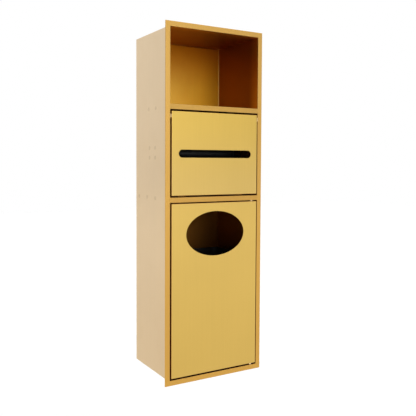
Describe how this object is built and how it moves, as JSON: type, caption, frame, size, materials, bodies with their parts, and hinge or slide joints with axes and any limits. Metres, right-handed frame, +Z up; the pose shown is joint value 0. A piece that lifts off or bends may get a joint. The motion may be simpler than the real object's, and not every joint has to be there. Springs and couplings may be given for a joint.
{
  "type": "recessed washroom cabinet",
  "caption": "Wall-recessed washroom cabinet with an open niche, a slotted tissue flap hinged near its top edge, and a waste bin behind a side-hinged door with an oval mouth.",
  "frame": {"origin": "middle of the wall flange's lower edge, on the flange's back face, which lies on the wall", "axes": "+X to the viewer's right, +Y into the wall, +Z up"},
  "size_m": [0.2, 0.143, 0.63],
  "materials": {
    "gold_steel": "brushed, gold coloured",
    "bush": "turned",
    "bright_steel": "bright",
    "rubber": "matt",
    "black_plastic": "moulded, fine texture",
    "magnet": "sintered",
    "grey_plastic": "moulded"
  },
  "bodies": {
    "cabinet": {"front_frame": "gold_steel", "side_panel_left": "gold_steel", "side_panel_right": "gold_steel", "top_panel": "gold_steel", "bottom_panel": "gold_steel", "back_panel": "gold_steel", "niche_shelf": "gold_steel", "bin_divider": "gold_steel", "flap_hinge_pins": "bright_steel", "flap_stop_tabs": "gold_steel", "flap_bumpers": "rubber", "bin_door_pins": "bright_steel", "door_stop_tabs": "gold_steel", "door_bumpers": "rubber", "catch_housing": "black_plastic", "catch_magnet": "magnet", "catch_pole_plates": "bright_steel", "catch_studs": "bright_steel", "catch_nuts": "bright_steel", "roll_bracket_left": "gold_steel", "roll_bracket_right": "gold_steel"},
    "tissue_flap": {"tissue_flap": "gold_steel", "flap_hinge_bushes": "bush"},
    "bin_door": {"bin_door": "gold_steel", "bin_door_bushes": "bush", "strike_plate": "bright_steel", "strike_rivets": "bright_steel"},
    "roll_spindle": {"spindle_sleeve": "grey_plastic", "spindle_spring": "bright_steel"},
    "spindle_plunger": {"spindle_plunger": "grey_plastic"},
    "waste_bin": {"waste_bin": "black_plastic"}
  },
  "joints": [
    {"name": "flap_hinge", "type": "hinge", "parent": "cabinet", "child": "tissue_flap", "pos_m": [0, 0.0025, 0.4695], "axis": [-1, 0, 0], "range_deg": [0, 110]},
    {"name": "bin_door_hinge", "type": "hinge", "parent": "cabinet", "child": "bin_door", "pos_m": [0.07995, 0.0025, 0.165], "axis": [0, 0, 1], "range_deg": [0, 110]},
    {"name": "spindle_spin", "type": "hinge", "parent": "cabinet", "child": "roll_spindle", "pos_m": [0, 0.0681, 0.4066], "axis": [1, 0, 0], "continuous": true},
    {"name": "spindle_plunge", "type": "slide", "parent": "roll_spindle", "child": "spindle_plunger", "axis": [1, 0, 0], "range_m": [-0.009, 0], "stiffness_N_per_m": 250, "springref_m": 0.012, "deforming": ["spindle_spring"]},
    {"name": "bin_lift", "type": "slide", "parent": "cabinet", "child": "waste_bin", "axis": [0, 0, 1], "range_m": [0, 0.045]}
  ]
}
